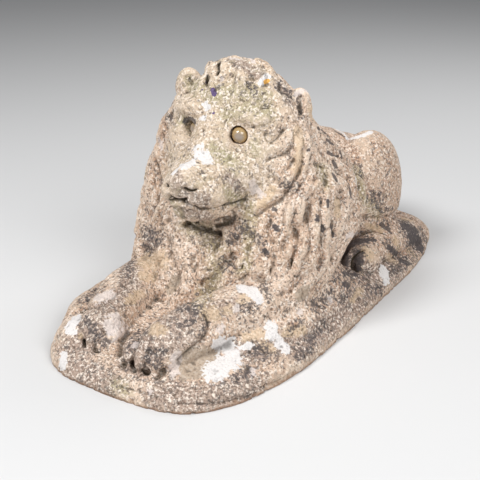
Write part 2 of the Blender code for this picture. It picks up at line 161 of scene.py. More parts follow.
# Carved lines traced on the photograph: half width and depth in millimetres, whether the far side has its
# twin, and a row for each line with the pixels that it runs through, x and y by turns. A negative depth is a
# raised line.
tracedLines = {
    "mouthCut": (3.4, 10.0, True, ((169.5, 202.2, 177, 201.8, 184.5, 200.8),)),
    "mouthLine": (2.2, 5.5, True, ((184, 201, 190, 206, 200, 209.5, 212, 210, 225, 206, 236, 203, 245, 200),)),
    "jawLine": (3.4, 4.2, True, (
        (187, 222, 198, 225.5, 210, 223, 222, 217.5, 233, 212, 241, 205),
        (233.5, 212, 234, 219, 231.5, 224, 227, 226.5),)),
    "nostril": (2.8, 7.0, True, ((185, 189.3, 189, 190.6, 193, 190.4, 197, 188.6),)),
    "muzzleFold": (5.0, 1.6, True, ((234, 176, 238, 183, 239, 191, 236, 198),)),
    "ruffEdge": (3.6, 4.2, True, (
        (289, 117, 294, 127, 295.5, 137, 292, 147, 286, 153, 277, 157, 267, 161),
        (294, 160, 291, 166, 285, 172), (265, 134, 266, 139, 270, 142, 276, 140, 281, 134, 284, 128),)),
    "ruffHollow": (7.0, 3.2, True, ((258, 115, 265, 112, 272, 115), (287, 122, 290, 126),)),
    "maneCreases": (3.8, 4.0, True, (
        (303, 150, 302, 163, 297, 178, 288, 192, 279, 202, 268, 208, 257, 216),
        (311, 158, 308, 172, 300, 186, 292, 196, 286, 204, 283, 214, 284, 226, 280, 238),
        (315, 164, 321, 167.5, 325, 173, 326, 182, 324, 192),
        (296, 210, 293, 222, 297, 235, 296, 248, 291.5, 260, 288, 269, 281, 275.5),
        (270, 222, 267, 232, 272, 244, 275, 256, 274, 267, 271.5, 274),
        (310, 205, 306, 220, 311, 234, 310, 250, 303, 262, 302, 272, 296, 278),
        (322, 200, 320, 212, 323, 226, 321, 240, 324, 254, 319, 268),
        (256, 226, 253, 238, 247, 250, 246, 262, 241, 270), (332, 222, 333, 236, 330, 250, 333, 262),)),
    "chestWaves": (4.5, 2.4, False, (
        (232, 240, 228, 254, 232, 268, 226, 282), (216, 246, 211, 260, 214, 274, 208, 288, 209, 300),
        (197, 250, 192, 264, 196, 278, 190, 292, 192, 304), (180, 240, 176, 256, 180, 270, 174, 286),
        (163, 222, 159, 238, 163, 252, 158, 264),)),
    "strands": (1.8, 1.5, True, (
        (338, 140, 343, 152, 346, 166, 347, 182, 349, 196, 350.5, 210),
        (333, 160, 337, 174, 340, 190, 341, 206, 340, 222), (344, 148, 349, 158, 353, 172, 356, 186, 357, 200),
        (327, 208, 328, 222, 331, 236, 332, 250), (317, 132, 319, 140, 321, 148),
        (306, 176, 303, 188, 297, 198), (299, 170, 294, 182, 286, 192),
        (288, 214, 289, 226, 285, 240, 283, 254), (302, 220, 303, 234, 301, 246),)),
    "thighFold": (4.5, 4.2, True, ((360, 216.5, 369, 218.5, 380, 217.5, 391, 216, 397.5, 211),)),
    "haunchHollow": (9.0, 4.0, True, ((352, 150, 356, 168, 361, 186, 366, 204),)),
    "hindToes": (2.8, 5.0, True, (
        (363, 250, 357.5, 252, 353, 259, 352.5, 268, 357, 271), (362, 234, 373, 231, 384, 233),)),
    "pawCreases": (2.6, 3.0, False, (
        (146, 352, 150, 349.5, 154, 352), (122, 357, 124, 364), (133, 359, 134.5, 366), (145, 363, 146, 371),
        (83, 338, 83.5, 345), (95, 343, 96, 351), (107, 347, 108, 354),)),
    "pawSide": (4.6, 6.0, False, (
        (206, 314, 210, 324, 207, 335, 197, 345, 187, 353, 179, 361), (164, 372, 157, 377),
        (129, 332, 122, 342, 119, 354),)),
    "crownGaps": (4.0, 8.0, False, ((204, 66, 205, 74, 207, 84), (217.5, 62, 217, 67, 216, 73),)),
    "farEarHollow": (5.0, 5.0, False, ((189, 78, 191, 85, 188, 92),)),
    "farSocketHollow": (6.5, 5.0, False, ((186, 121, 187, 128),)),
    "maneRidges": (6.0, -3.6, True, (
        (299, 126, 301, 145, 298, 160, 290, 176, 279, 191, 266, 201, 255, 209),
        (307, 138, 308, 155, 304, 172, 295, 188, 288, 198),
        (289, 207, 288, 225, 290.5, 244, 285, 261, 279, 271),
        (303, 202, 300, 224, 304, 244, 299, 260, 294, 270), (264, 220, 259, 238, 263, 254, 258, 267),
        (315, 186, 314, 206, 317, 228, 316, 248, 312, 266), (327, 190, 327, 212, 328, 236, 327, 258),)),
    "lipPad": (10.0, -2.6, True, ((196, 196, 208, 200, 220, 198),)),
    "legGroove": (5.0, 5.0, False, ((133, 278, 120, 289, 106, 301, 88, 307, 70, 313),)),
    "baseCracks": (3.4, 4.2, False, (
        (119.5, 386, 132, 389, 145, 393, 156, 396),
        (177.5, 404, 192, 403.5, 207, 403.7, 222, 402.5, 240, 399, 256, 394), (262, 388, 280, 381, 296, 372),)),
    "clawHoles": (3.4, 9.0, False, (
        (120.5, 362, 123.5, 365), (133.5, 364, 134.5, 370), (143, 371.5, 148, 372.5), (83, 341, 84.5, 345.5),
        (94, 349, 98, 351),)),
    "drillHoles": (2.2, 6.0, True, (
        (242, 266, 242, 269), (272, 269, 271.5, 273), (291.5, 260, 290.5, 265),
        (295, 276.5, 298, 278, 301, 276.5),)),
    "chinHollow": (6.5, 10.0, True, ((188, 226, 198, 230, 208, 230), (214, 227, 222, 224, 229, 222),)),
    "earHollow": (5.0, 6.0, False, ((300, 98, 300.5, 106, 301.5, 114),)),
}


# A smooth curve through rows of numbers: each stretch blends its four nearest rows by cubic weights.
def smoothPath(stations, count):
    rows = np.array(stations, float)
    rows = np.vstack([2 * rows[0] - rows[1], rows, 2 * rows[-1] - rows[-2]])
    places = np.linspace(0, len(stations) - 1 - 1e-9, count)
    first = places.astype(int)
    step = (places - first)[:, None]
    a, b, c, d = rows[first], rows[first + 1], rows[first + 2], rows[first + 3]
    cubic = (3 * b - a - 3 * c + d) * step**3
    return 0.5 * (2 * b + (c - a) * step + (2 * a - 5 * b + 4 * c - d) * step**2 + cubic)


# Signed power: the size of each number is raised, and its sign is kept.
def signedPower(values, power):
    return np.sign(values) * np.abs(values) ** power


# Ellipsoid: latitude from pole to pole and longitude all round, stretched by three radii, tilted and turned.
def ellipsoidSurface(centre, radii, tilt=0, turn=0, rows=25, columns=48):
    latitude = np.linspace(-math.pi / 2, math.pi / 2, rows)[:, None]
    longitude = np.linspace(0, 2 * math.pi, columns, endpoint=False)[None]
    ball = np.stack([np.cos(latitude) * np.cos(longitude), np.cos(latitude) * np.sin(longitude),
                     np.sin(latitude) + 0 * longitude], axis=-1)
    turned = np.array(Matrix.Rotation(math.radians(turn), 3, "Z") @ Matrix.Rotation(math.radians(tilt), 3, "X"))
    return (ball * radii @ turned.T + centre) * lion["length"]


# Bar: a circle carried along a path, its radius falling as a quarter circle beyond both ends to close it.
def barSurface(centres, radii, columns):
    centres, radii = np.asarray(centres, float), np.asarray(radii, float)
    tangent = np.gradient(centres, axis=0)
    tangent /= np.linalg.norm(tangent, axis=1)[:, None]
    guide = np.eye(3)[np.argmin(np.abs(tangent).mean(axis=0))]
    across = np.cross(tangent, guide)
    across /= np.linalg.norm(across, axis=1)[:, None]
    above = np.cross(across, tangent)
    fall = np.radians((90, 72, 54, 36, 18))
    ends = []
    for end, sign in ((0, -1), (-1, 1)):
        middle = centres[end] + sign * tangent[end] * (radii[end] * np.sin(fall))[:, None]
        held = [np.tile(way[end], (len(fall), 1)) for way in (across, above)]
        ends.append((middle, radii[end] * np.cos(fall), *held))
    tail = [part[::-1] for part in ends[1]]
    middles, sizes, across, above = (
        np.concatenate(three) for three in zip(ends[0], (centres, radii, across, above), tail))
    around = np.linspace(0, 2 * math.pi, columns, endpoint=False)[None, :, None]
    ring = np.cos(around) * across[:, None] + np.sin(around) * above[:, None]
    return middles[:, None] + sizes[:, None, None] * ring


# Limb: a bar along a smooth path whose radius runs smoothly through its stations.
def limbSurface(stations):
    count, columns = lion["limbGrid"]
    rows = smoothPath([(*centre, radius) for centre, radius in stations], count) * lion["length"]
    return barSurface(rows[:, :3], rows[:, 3], columns)


# Mane skin: at each height a rounded square round an axis, wider than deep, with its own front and back reach.
def manePoint(angle, height):
    rows = smoothPath(mane["sections"], mane["between"])
    width, front, back, shift = (np.interp(height, rows[:, 0], rows[:, k]) for k in (1, 2, 3, 4))
    middle = front + (back - front) * mane["widest"]
    across = signedPower(np.sin(np.radians(angle)), 2 / mane["power"])
    along = signedPower(-np.cos(np.radians(angle)), 2 / mane["power"])
    reach = np.where(along < 0, middle - front, back - middle)
    return (np.stack([shift + width * across, middle + reach * along, height], axis=-1),
            np.stack([shift, middle, height], axis=-1))


# Mane: its skin at every height and angle, closed by drawing the first and last rings to their middles.
def maneSurface(rows=80, columns=120):
    heights = smoothPath(mane["sections"], rows)[:, 0]
    angles = np.linspace(0, 360, columns, endpoint=False)
    grid, axis = manePoint(np.tile(angles, (rows, 1)), np.repeat(heights[:, None], columns, axis=1))
    return np.concatenate([axis[:1], grid, axis[-1:]]) * lion["length"]


lockShape = {
    "steps": 26,
    "least": 0.45,  # a lock's radius is this share of its own at least
    "swell": 0.55,  # and this share more along a sine, whose stretch follows
    "swellFrom": 0.12,
    "swellOver": 0.76,
    "sink": 0.35,  # shares of its radius that its middle lies under the mane's skin
}


# Lock line: from start to end on the mane skin, bowed by half a sine and waved by whole sines, set a little
# under the skin. Its radius swells and falls along a sine. Gives centres, radii and the outward directions.
def lockLine(side, start, end, bow, wave, waves, radius):
    step = np.linspace(0, 1, lockShape["steps"])
    angle = start[0] + (end[0] - start[0]) * step
    angle = side * (angle + bow * np.sin(math.pi * step) + wave * np.sin(2 * math.pi * waves * step))
    skin, axis = manePoint(angle, start[1] + (end[1] - start[1]) * step)
    swell = np.sin(math.pi * (lockShape["swellFrom"] + lockShape["swellOver"] * step))
    thick = radius * (lockShape["least"] + lockShape["swell"] * swell)
    outward = skin - axis
    outward /= np.linalg.norm(outward, axis=1)[:, None]
    centres = (skin - outward * (lockShape["sink"] * thick)[:, None]) * lion["length"]
    return centres, thick * lion["length"], outward


# Base: a ball whose plan and edge are raised to powers, so that both grow square, over a flat floor.
def baseSurface(rows=48, columns=144):
    latitude = np.linspace(-math.pi / 2, math.pi / 2, rows)[:, None]
    longitude = np.linspace(0, 2 * math.pi, columns, endpoint=False)[None]
    plan, edge = 2 / base["planPower"], 2 / base["edgePower"]
    reach = np.abs(np.cos(latitude)) ** edge
    height = signedPower(np.sin(latitude), edge) + 0 * longitude
    sideways = signedPower(np.cos(longitude), plan) * reach
    along = signedPower(np.sin(longitude), plan) * reach
    depth = np.where(height > 0, base["height"] * (1 - base["fall"] * np.maximum(along, 0)), base["stock"])
    return np.stack([sideways * base["width"] / 2, along * base["length"] / 2, height * depth], axis=-1)


# Toes: ellipsoids side by side across a paw, each further back as the square of its place, and lower with it.
def pawSurfaces(centre, turn, pitch):
    across = (np.arange(lion["toes"]) - (lion["toes"] - 1) / 2) * pitch
    back = across**2 / pitch * lion["toeBack"]
    turned = math.radians(turn)
    places = np.stack([centre[0] + across * math.cos(turned) - back * math.sin(turned),
                       centre[1] + across * math.sin(turned) + back * math.cos(turned),
                       centre[2] - lion["toeDrop"] * np.abs(across)], axis=-1)
    return [ellipsoidSurface(place, lion["toeRadii"], lion["toeTilt"], turn) for place in places]


# One mesh of many closed grids: each grid's columns wrap round, and its first and last rows are points or flat.
def meshOfGrids(name, grids):
    points, faces, offset = [], [], 0
    for grid in grids:
        rows, columns = grid.shape[:2]
        index = offset + np.arange(rows * columns).reshape(rows, columns)
        after = np.roll(index, -1, axis=1)
        faces.append(np.stack([index[:-1], after[:-1], after[1:], index[1:]], axis=-1).reshape(-1, 4))
        points.append(grid.reshape(-1, 3))
        offset += rows * columns
    return meshOf(name, np.concatenate(points), np.concatenate(faces))


# A mesh from arrays of points and of four-cornered faces.
def meshOf(name, points, faces):
    mesh = bpy.data.meshes.new(name)
    mesh.vertices.add(len(points))
    mesh.vertices.foreach_set("co", np.asarray(points, np.float32).ravel())
    mesh.loops.add(faces.size)
    mesh.loops.foreach_set("vertex_index", faces.astype(np.int32).ravel())
    mesh.polygons.add(len(faces))
    mesh.polygons.foreach_set("loop_start", np.arange(len(faces), dtype=np.int32) * 4)
    mesh.update(calc_edges=True)
    mesh.validate()
    return mesh


# Three numbers for each of many points or normals, one row each.
def rowsOf(values, name):
    rows = np.empty(len(values) * 3, np.float32)
    values.foreach_get(name, rows)
    return rows.reshape(-1, 3)


# A mesh's points, in metres.
def pointsOf(mesh):
    return rowsOf(mesh.vertices, "co")


# The directions square to a mesh at its points, each of length one.
def normalsOf(mesh):
    return rowsOf(mesh.vertex_normals, "vector")


# Every face takes its shade evenly from its points' normals.
def shadeSmooth(mesh):
    mesh.polygons.foreach_set("use_smooth", np.ones(len(mesh.polygons), bool))


# The mesh that an object's modifiers make, which replaces its own.
def settle(piece):
    graph = bpy.context.evaluated_depsgraph_get()
    made = bpy.data.meshes.new_from_object(piece.evaluated_get(graph))
    piece.modifiers.clear()
    piece.data = made


# Value noise, from -1 to 1: random numbers on a cubic lattice, blended between the eight nearest by a smooth
# step.
def latticeNoise(points, size, seed):
    cells = 48
    lattice = np.random.default_rng(seed).uniform(-1, 1, (cells, cells, cells)).astype(np.float32)
    scaled = points / size + 1000.0  # far enough that no cell number falls below nought
    cell = np.floor(scaled).astype(int)
    part = scaled - cell
    part = part * part * (3 - 2 * part)
    total = np.zeros(len(points), np.float32)
    for corner in np.ndindex(2, 2, 2):
        weight = np.prod(np.where(corner, part, 1 - part), axis=1)
        x, y, z = ((cell + corner) % cells).T
        total += weight * lattice[x, y, z]
    return total


# Distance from each point to the nearest stretch of a line, worked out stretch by stretch for whole arrays.
def lineDistance(points, line, reach):
    away = np.full(len(points), reach, np.float32)
    inside = (points > line.min(axis=0) - reach) & (points < line.max(axis=0) + reach)
    close = np.flatnonzero(inside.all(axis=1))
    if len(close) == 0:
        return away
    near = points[close]
    nearest = np.full(len(close), reach, np.float32)
    for start, end in zip(line[:-1], line[1:]):
        span = end - start
        along = np.clip((near - start) @ span / max(float(span @ span), 1e-12), 0, 1)
        nearest = np.minimum(nearest, np.linalg.norm(near - start - along[:, None] * span, axis=1))
    away[close] = nearest
    return away


# Camera axes: back points from the target to the camera, right is level, and up is square to both.
def cameraAxes():
    azimuth, elevation = math.radians(camera["azimuth"]), math.radians(camera["elevation"])
    back = Vector((math.sin(azimuth) * math.cos(elevation), -math.cos(azimuth) * math.cos(elevation),
                   math.sin(elevation)))
    right = Vector((math.cos(azimuth), math.sin(azimuth), 0))
    return back, right, back.cross(right)


# The point of the stone that a pixel of the photograph shows, by a ray from the camera, or None.
def photoPoint(stone, pixel):
    back, right, up = cameraAxes()
    focal = camera["lens"] / camera["sensor"] * camera["picture"]
    middle = camera["picture"] / 2
    origin = Vector(camera["target"]) + back * camera["distance"]
    ray = (right * ((pixel[0] - middle) / focal) + up * ((middle - pixel[1]) / focal) - back).normalized()
    hit, place, _, _ = stone.ray_cast(origin, ray)
    return place if hit else None


# A traced line on the stone: the smooth path of a row of pixels, each point brought onto the stone.
def photoLine(stone, row):
    pixels = list(zip(row[::2], row[1::2]))
    length = sum(math.dist(a, b) for a, b in zip(pixels, pixels[1:]))
    count = max(3, int(length / camera["traceStep"]))
    places = smoothPath(pixels, count) if len(pixels) > 1 else pixels * 2
    found = [photoPoint(stone, place) for place in places]
    return np.array([place for place in found if place is not None], np.float32)


# The bed of a carved line: each of its points moved inwards by a depth, square to the stone there.
def bedLine(stone, line, depth):
    inward = [stone.closest_point_on_mesh(Vector(place))[2] * -depth for place in line.tolist()]
    return line + np.array(inward, np.float32)


# A line's twin on the other side, each point moved to the nearest point of the stone.
def twinLine(stone, line):
    moved = [stone.closest_point_on_mesh(Vector((-x, y, z)))[1] for x, y, z in line.tolist()]
    return np.array(moved, np.float32)


# An object that holds a mesh, a lamp or a camera, put into the scene.
def makeObject(name, mesh):
    made = bpy.data.objects.new(name, mesh)
    bpy.context.scene.collection.objects.link(made)
    return made


grids = [baseSurface(), maneSurface()]
grids += [ellipsoidSurface(*mass) for mass in lion["middle"] + lion["ears"]]
grids += [limbSurface(stations) for stations in lion["middleLimbs"] + lion["forelegs"] + lion["rims"]]
lockLines = []
for side in sides.values():
    grids += [ellipsoidSurface((side * x, y, z), radii) for (x, y, z), radii in lion["paired"]]
    for stations in lion["pairedLimbs"]:
        grids.append(limbSurface([((side * x, y, z), radius) for (x, y, z), radius in stations]))
    for family in lockFamilies.values():
        lockLines += [lockLine(side, *values) for values in family]
for paw in lion["paws"]:
    grids += pawSurfaces(*paw)
grids += [barSurface(centres, radii, lion["lockColumns"]) for centres, radii, _ in lockLines]
stone = makeObject("stoneLion", meshOfGrids("stoneLion", grids))
skin = stone.modifiers.new("skin", "REMESH")
skin.mode = "VOXEL"
skin.voxel_size = lion["voxel"]
soften = stone.modifiers.new("soften", "SMOOTH")
soften.factor, soften.iterations = lion["softening"]
settle(stone)
bpy.context.view_layer.update()
print("stone masses fused:", len(stone.data.vertices), "points")

relief = {
    "strandPlaces": (-0.55, 0.05, 0.6),  # across a lock, in shares of its radius
    "strandHalfWidth": 0.0020,
    "strandDepth": 0.0014,
    "steepFrom": 0.75,  # depth over half width beyond which a cut holds dirt and painted shade
    "bedShares": (0, 0.3, 0.6, 0.9),  # shares of a cut's depth that its dirt and painted shade are measured from
    "reach": 2.5,  # half widths of a line that its carving may reach
    "measured": 2.6,  # half widths within which the distance to it is worked out
    # Lumps: height, size, seed, and how much higher they are at the foot of the base
    "lumps": ((0.0012, 0.040, 1, 1.0), (0.0005, 0.016, 2, 0.0), (0.0005, 0.007, 3, 0.0)),
    "foot": (0.055, 0.02),  # the height below which lumps grow, and the fall over which they do
    "pits": (0.0065, 0.0065, 4),  # depth, size and seed
    "pitFrom": 0.40,  # noise above this makes a pit
    "margin": 0.0002,  # left to the sides of the solid's box
}
carvings = []  # line, half width, depth
sharpCuts = []  # beds, half width and steepness of the lines that are cut steeply enough to hold dirt and painted shade
for halfWidth, depth, twinned, traces in tracedLines.values():
    for row in traces:
        line = photoLine(stone, row)
        if len(line) < 2:
            continue
        for cut in [line, twinLine(stone, line)] if twinned else [line]:
            carvings.append((cut, halfWidth / 1000, depth / 1000))
            steepness = min(max(depth / halfWidth - relief["steepFrom"], 0), 1)
            if steepness > 0:
                beds = [bedLine(stone, cut, depth / 1000 * share) for share in relief["bedShares"]]
                sharpCuts.append((beds, halfWidth / 1000, steepness))
for centres, radii, outward in lockLines:
    tangent = np.gradient(centres, axis=0)
    sideways = np.cross(outward, tangent)
    sideways /= np.linalg.norm(sideways, axis=1)[:, None]
    for place in relief["strandPlaces"]:
        lift = math.sqrt(1 - place**2)
        strand = (centres + radii[:, None] * (place * sideways + lift * outward))[2:-2].astype(np.float32)
        carvings.append((strand, relief["strandHalfWidth"], relief["strandDepth"]))
print("carved lines:", len(carvings))

points, normals = pointsOf(stone.data), normalsOf(stone.data)
sunk, raised = np.zeros((2, len(points)), np.float32)
for line, halfWidth, depth in carvings:
    away = lineDistance(points, line, halfWidth * relief["measured"])
    share = np.exp(-((away / halfWidth) ** 2)) * (away < halfWidth * relief["reach"])
    if depth > 0:
        sunk = np.maximum(sunk, depth * share)
    else:
        raised = np.maximum(raised, -depth * share)
footHeight, footFall = relief["foot"]
lowness = np.clip((footHeight - points[:, 2]) / footFall, 0, 1)
lumps = sum(height * (1 + more * lowness) * latticeNoise(points, size, seed)
            for height, size, seed, more in relief["lumps"])
pitDepth, pitSize, pitSeed = relief["pits"]
pits = np.clip(latticeNoise(points, pitSize, pitSeed) - relief["pitFrom"], 0, 1) * pitDepth
points = points + normals * (lumps - pits - sunk + raised)[:, None]
margin = relief["margin"]
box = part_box("stone_lion")
points = np.clip(points, np.array(box[0]) + (margin, margin, 0), np.array(box[1]) - margin)
stone.data.vertices.foreach_set("co", points.astype(np.float32).ravel())
stone.data.update()
thin = stone.modifiers.new("thin", "DECIMATE")
thin.ratio = lion["triangles"] / (2 * len(stone.data.polygons))
settle(stone)
print("stone carved:", len(stone.data.polygons), "triangles")

eyes = {
    "radius": 0.0115,
    "turn": 22,  # degrees that each eye looks out to its side
    "clearance": {"left": 0.0016, "right": 0.0028},  # from the ball to its socket
    "seatGap": 0.0003,  # what is left of it where the ball is seated
    "socketLean": {"left": (-0.60, 0.72, 0.35), "right": (0.0, 0.0, 1.0)},  # to the side, up and outward
    "socketLength": 0.040,
}


# The way that an eye looks: forwards, turned out to its own side.
def eyeAxis(side):
    turn = math.radians(eyes["turn"])
    return np.array((side * math.sin(turn), -math.cos(turn), 0))


# A grid turned so that its Z points along an axis, and moved to a centre.
def aimed(grid, axis, centre):
    return grid @ np.array(Vector(axis).to_track_quat("Z", "Y").to_matrix()).T + centre


# Drill: a ball whose front half is drawn out along its axis. Rows run from its back pole to its front pole.
def drillSurface(centre, axis, radius, length):
    grid = ellipsoidSurface((0, 0, 0), np.full(3, radius / lion["length"]))
    grid[..., 2] += np.where(grid[..., 2] > 1e-6, length, 0)
    return aimed(grid, axis, centre)


for name, side in sides.items():
    low, high = (np.array(corner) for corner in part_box(name + "_eye"))
    axis = eyeAxis(side)
    clearance = eyes["clearance"][name]
    sideways, up, outward = eyes["socketLean"][name]
    across = np.array((-axis[1], axis[0], 0))
    lean = across * sideways + np.array((0, 0, up)) + axis * outward
    centre = (low + high) / 2 + lean / np.linalg.norm(lean) * (clearance - eyes["seatGap"])
    grid = drillSurface(centre, axis, eyes["radius"] + clearance, eyes["socketLength"])
    drill = makeObject("drill", meshOfGrids("drill", [grid]))
    cut = stone.modifiers.new("socket", "BOOLEAN")
    cut.operation = "DIFFERENCE"
    cut.solver = "EXACT"
    cut.object = drill
    settle(stone)
    bpy.data.objects.remove(drill)
print("sockets drilled:", len(stone.data.polygons), "faces")


# Lichen and stains on the near side, and a few marks of painted shade. Each row is a patch: its radius in
# pixels, then the pixels that it runs through, x and y by turns. Mauve is bare stone, smooth is worn stone, and
# black is the densest dark lichen; where noted, dark, black and smooth patches also paint shade.
patches = {
    "white": (
        (5, 63, 356, 62.5, 366), (5, 240, 288, 250, 291), (6, 253, 292, 259, 299), (7.5, 218, 344, 229, 344),
        (4, 241, 347.5, 250, 346), (7, 271, 327, 272, 336), (6, 278, 343, 285, 349),
        (11, 214, 372, 222, 366, 232, 360), (6, 383, 269, 386, 280), (3, 332, 127, 341, 132, 349, 139),
        (3, 353, 138, 362, 136, 371, 132), (7, 199, 154, 207, 158), (5, 184, 166, 192, 162),
        (2, 171, 176, 176, 170, 182, 164), (3, 196, 147, 202, 145), (4, 205, 104, 208, 108), (4, 203, 118),
        (4, 261, 82, 267, 77), (6, 69, 328, 76, 319), (4.5, 73, 332),
    ),
    "chalk": (
        (10, 113, 322, 119, 331), (7, 176, 358, 174, 369), (5, 252, 190), (5, 220, 329),
        (3, 296, 95, 303, 90, 309, 92), (3, 246, 56, 254, 62), (3, 222, 80), (4, 135, 345),
        (6, 98, 298, 112, 295), (4, 300, 312), (4, 150, 392), (4, 330, 300), (4, 236, 309),
        (6, 226, 355, 236, 352), (3, 348, 236, 356, 233), (4, 254, 372), (4, 252, 182, 262, 196),
        (3, 160, 140, 162, 148), (3, 232, 58, 240, 60),
    ),
    "ochre": (
        (12, 147, 262, 160, 261), (7, 144, 275, 152, 278), (6.5, 154, 329, 161, 330), (8, 207, 313, 214, 313),
        (6.5, 228, 310), (6, 243, 300, 249, 296), (6, 246, 337, 262, 334), (6, 264, 346, 272, 348),
        (6.5, 287, 332, 302, 331), (5, 368, 226, 380, 230), (6.5, 365, 250, 371, 257), (5, 388, 256, 395, 262),
        (5, 394, 240, 398, 248), (5, 408, 250, 413, 254), (4, 336, 200, 338, 216),
        (6, 298, 130, 300, 150, 296, 170), (6, 272, 190, 262, 204), (3.5, 81, 336), (6, 313, 96, 312, 116),
        (5, 352, 300, 360, 290), (6, 130, 300, 140, 294), (4, 403, 219, 412, 220), (3, 360, 262, 362, 275),
    ),
    "dark": (
        (10, 405, 226, 415, 234), (10, 410, 238, 420, 246), (4, 400, 222, 408, 222),
        (8, 366, 238, 357, 242, 347, 251, 344, 263), (7, 359, 256, 358, 264), (7, 338, 275, 352, 272, 366, 276),
        (5, 342, 284, 352, 282), (6, 386, 244, 394, 252, 402, 260), (7, 394, 270, 404, 264, 414, 256),
        (5, 420, 228, 426, 240), (6, 370, 288, 380, 290), (7, 250, 350, 262, 350, 266, 356),
        (6, 246, 308, 254, 306), (5, 264, 288, 268, 298), (4, 188, 304, 198, 306),
        (3.5, 180, 309, 192, 308, 204, 316), (7, 316, 306, 330, 296), (5, 340, 300, 352, 292),
        (4, 130, 262, 128, 276), (6, 82, 300, 96, 292), (5, 86, 322, 94, 330), (8, 146, 232, 158, 240),
        (5, 148, 246, 150, 252), (6, 232, 240, 244, 228), (6, 222, 262, 232, 268), (6, 286, 183, 292, 186),
        # the last patch on the next line and the first two on the line after, at the haunch's front edge, are
        # dark lichen and painted shade
        (5, 252, 232, 262, 244), (3, 275, 225, 278, 231), (3, 264, 250, 267, 254), (4, 360, 168, 362, 176),
        (7, 374, 196, 380, 206), (3, 380, 212, 392, 208), (6, 280, 88, 288, 96), (4, 250, 84, 254, 92),
        (5, 160, 105, 170, 118), (3, 298, 96, 299, 106, 302, 118), (1.5, 320, 199, 320, 203),
        (1.5, 328, 200, 328, 208), (2.5, 318, 216, 318, 220), (2.5, 322, 226, 322, 231),
        # the second patch on the next line, along the near paw's side, is dark lichen and painted shade
        (1.5, 330, 225, 333, 236), (4, 200, 335, 206, 325), (5, 150, 360, 160, 366), (5, 235, 376, 250, 372),
        # the last patch on the next line, in the far eye's socket, is painted shade
        (4, 290, 330, 300, 322), (6, 310, 340, 322, 328), (5, 300, 356, 312, 348), (4, 187, 123, 189, 129),
        (4, 134, 336, 146, 330), (4, 128, 350, 136, 344), (6, 94, 332, 104, 340), (3.5, 150, 352, 164, 352),
        (4, 182, 326, 194, 318),
    ),
    "black": (
        (1.8, 318, 128, 325, 133), (1.6, 327, 140, 333, 144), (1.7, 328, 153, 338, 157),
        (1.7, 333, 162, 336, 167), (1.5, 333, 174, 337, 181), (1.6, 335, 131, 347, 138),
        (2.4, 381, 224, 388, 230), (2.0, 387, 221, 391, 233), (1.2, 349, 184, 351, 198),
        (4.6, 364, 241, 354, 243, 347, 249, 344.5, 262), (5, 359.5, 255, 358, 266), (2, 364, 239.5, 376, 240.5),
        (3.4, 389, 247, 396, 254), (2.5, 344, 274, 356, 275), (3, 344, 284, 349, 286), (3, 401, 260, 409, 264),
        (1.2, 320, 199, 320, 203), (1.2, 328, 200, 328, 208), (1.2, 330, 225, 333, 236),
        (2.0, 318, 216, 318, 220), (2.0, 322, 226, 322, 231), (2.2, 275, 226, 277, 230),
        # the second patch on the next line, in the far eye's socket, is painted shade
        (2.2, 265, 250, 267, 253), (2.4, 184.5, 122, 187, 119, 192, 119.5, 195, 123), (4.5, 402, 225, 416, 231),
        (6.5, 411, 237, 418, 240, 420, 247), (1.8, 272, 208, 276, 210), (1.2, 340, 151, 342, 158),
        (1.5, 309, 150),
    ),
    "green": (
        (12, 214, 96, 232, 92, 250, 94, 262, 98), (11, 228, 114, 250, 110, 268, 112),
        (14, 190, 225, 205, 232, 216, 246), (11, 214, 262, 216, 280, 200, 300), (9, 190, 80, 200, 90),
        (8, 322, 170, 324, 184), (9, 358, 170, 366, 200, 378, 214), (8, 184, 122, 192, 130),
        (9, 118, 386, 124, 392), (8, 246, 262, 242, 270), (10, 215, 150, 235, 165), (9, 228, 195, 240, 200),
        (8, 250, 205, 248, 250), (7, 254, 146, 258, 152), (6, 186, 78, 190, 88), (6, 172, 205, 180, 214),
    ),
    "smooth": (
        # the first patch on the next line, beside the near paw, is worn stone darkened with painted shade
        (13, 190, 364, 205, 362), (5, 300, 296, 306, 290), (5, 170, 290, 176, 280),
    ),
    "mauve": (
        (22, 100, 318, 86, 334, 76, 348), (24, 178, 330, 150, 344, 136, 354), (16, 70, 366, 92, 378, 108, 384),
        (14, 130, 268, 128, 290, 112, 304), (14, 240, 352, 262, 350, 286, 340),
        (16, 300, 350, 340, 316, 372, 290), (18, 352, 246, 350, 262, 372, 276, 396, 268),
        (18, 406, 226, 418, 242), (10, 176, 308, 204, 312, 236, 306), (17, 160, 396, 200, 400, 250, 386),
        (10, 150, 236, 150, 256), (8, 280, 88, 288, 100), (9, 176, 178, 186, 196, 204, 200),
        (7, 232, 60, 246, 66, 262, 76), (6, 228, 176, 240, 190), (7, 186, 212, 206, 218),
    ),
    "violet": (
        (1.8, 206, 82), (2.4, 213, 90, 214.5, 94), (1.3, 213.5, 113), (1.2, 202, 90),
    ),
    "orange": (
        (1.8, 265, 82, 268, 80.5),
    ),
}
